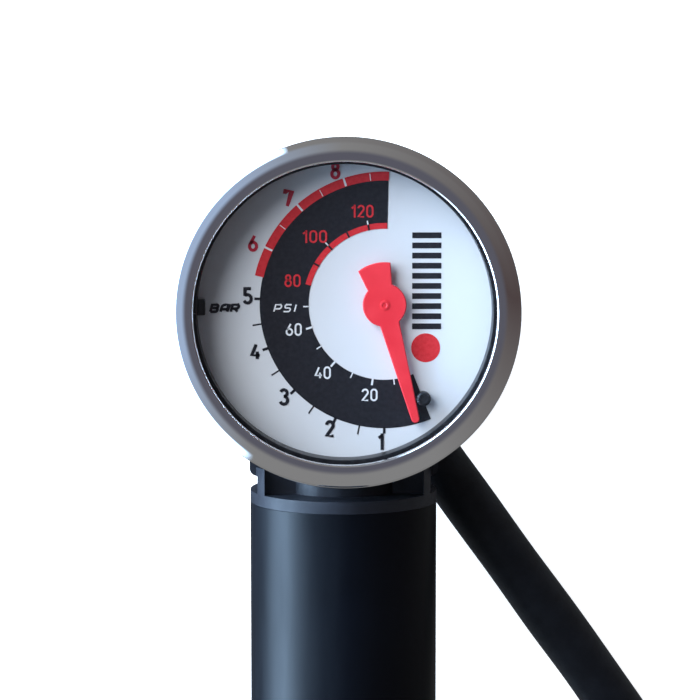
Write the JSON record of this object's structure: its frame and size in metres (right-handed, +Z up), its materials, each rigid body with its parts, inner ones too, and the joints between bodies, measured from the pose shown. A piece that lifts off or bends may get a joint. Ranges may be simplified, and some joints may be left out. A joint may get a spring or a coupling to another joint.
{
  "type": "suspension pump",
  "caption": "In-line hand pump for suspension forks and shocks: slim barrel with a sliding sleeve handle, round pressure gauge, bleed button and a swivelling rubber hose with a screw-on chuck.",
  "frame": {"origin": "centre of the footprint of pump and gauge, on the surface that it lies on, on the barrel's centre line", "axes": "+Y along the barrel from the handle to the gauge, +Z up out of the dial, +X to the side where the hose leaves"},
  "size_m": [0.0765, 0.2108, 0.032],
  "materials": {
    "black_anodised": "satin black anodised",
    "black_nylon": "moulded black nylon",
    "black_enamel": "black enamel",
    "black_trim": "black plastic",
    "bezel_chrome": "polished chrome plate",
    "dial_white": "printed satin white",
    "needle_red": "moulded red plastic",
    "lens_clear": "clear lens",
    "brass": "turned brass",
    "bright_steel": "bright steel",
    "black_steel": "black plated",
    "nickel": "satin nickel plate",
    "seal_rubber": "nitrile rubber",
    "hose_rubber": "smooth black rubber",
    "grip_rubber": "soft grip rubber",
    "white_acetal": "natural acetal"
  },
  "bodies": {
    "pump_body": {"head_body": "black_nylon", "barrel": "black_anodised", "barrel_seal": "seal_rubber", "valve_seat": "brass", "valve_spring": "bright_steel", "gauge_case": "black_enamel", "gauge_socket": "brass", "bourdon_tube": "brass", "movement_base_plate": "brass", "movement_top_plate": "brass", "movement_pillars": "brass", "hairspring": "bright_steel", "gauge_dial": "dial_white", "needle_stop": "black_trim", "spacer_ring": "black_trim", "gauge_lens": "lens_clear", "gauge_bezel": "bezel_chrome", "gland_nut": "black_nylon", "gland_bush": "white_acetal", "rod_wiper": "seal_rubber", "end_bumper": "seal_rubber", "bleed_housing": "brass", "bleed_spring": "bright_steel", "swivel_bolt": "black_steel", "swivel_seals": "seal_rubber"},
    "needle": {"gauge_needle": "needle_red", "needle_arbor": "bright_steel"},
    "sector": {"sector_gear": "brass"},
    "link": {"bourdon_link": "brass"},
    "check_valve": {"valve_poppet": "white_acetal"},
    "bleed_valve": {"bleed_button": "black_nylon", "bleed_stem": "bright_steel"},
    "plunger": {"piston": "white_acetal", "piston_seal": "seal_rubber"},
    "handle": {"piston_rod": "bright_steel", "handle_sleeve": "black_nylon", "handle_grip": "grip_rubber", "handle_cap": "black_nylon", "handle_screw": "bright_steel"},
    "hose": {"swivel_elbow": "black_steel", "elbow_ferrule": "black_steel", "hose": "hose_rubber", "chuck_ferrule": "nickel", "chuck_stem": "brass", "chuck_seal": "seal_rubber", "core_depressor": "brass"},
    "chuck": {"chuck_nut": "nickel", "chuck_retainer": "bright_steel"}
  },
  "joints": [
    {"name": "handle_stroke", "type": "slide", "parent": "pump_body", "child": "plunger", "axis": [0, -1, 0], "range_m": [0, 0.108]},
    {"name": "handle_turn", "type": "hinge", "parent": "plunger", "child": "handle", "pos_m": [0, -0.1004, 0.016], "axis": [0, 1, 0], "continuous": true},
    {"name": "needle_sweep", "type": "hinge", "parent": "pump_body", "child": "needle", "pos_m": [0.0045, 0.08635, 0.0269], "axis": [0, 0, -1], "range_deg": [0, 197], "stiffness_Nm_per_rad": 0.0000002, "springref_deg": -11.46},
    {"name": "sector_turn", "type": "hinge", "parent": "pump_body", "child": "sector", "pos_m": [-0.0045, 0.08635, 0.0229], "axis": [0, 0, 1], "range_deg": [0, 25]},
    {"name": "link_turn", "type": "hinge", "parent": "sector", "child": "link", "pos_m": [-0.0045, 0.08335, 0.0237], "axis": [0, 0, 1], "range_deg": [-25, 0]},
    {"name": "check_valve_lift", "type": "slide", "parent": "pump_body", "child": "check_valve", "axis": [0, 1, 0], "range_m": [0, 0.0008], "stiffness_N_per_m": 60, "springref_m": -0.001, "deforming": ["valve_spring"]},
    {"name": "bleed_press", "type": "slide", "parent": "pump_body", "child": "bleed_valve", "axis": [1, 0, 0], "range_m": [0, 0.0012], "stiffness_N_per_m": 400, "springref_m": -0.0015, "deforming": ["bleed_spring"]},
    {"name": "hose_swing", "type": "hinge", "parent": "pump_body", "child": "hose", "pos_m": [0, 0.0821, 0.0057], "axis": [0, 0, 1], "range_deg": [-6, 293]},
    {"name": "chuck_spin", "type": "hinge", "parent": "hose", "child": "chuck", "pos_m": [0.051, -0.0749, 0.0057], "axis": [0, -1, 0], "continuous": true}
  ],
  "couplings": [
    {"joint": "sector_turn", "follows": "needle_sweep", "ratio": 0.125},
    {"joint": "link_turn", "follows": "needle_sweep", "ratio": -0.125}
  ]
}
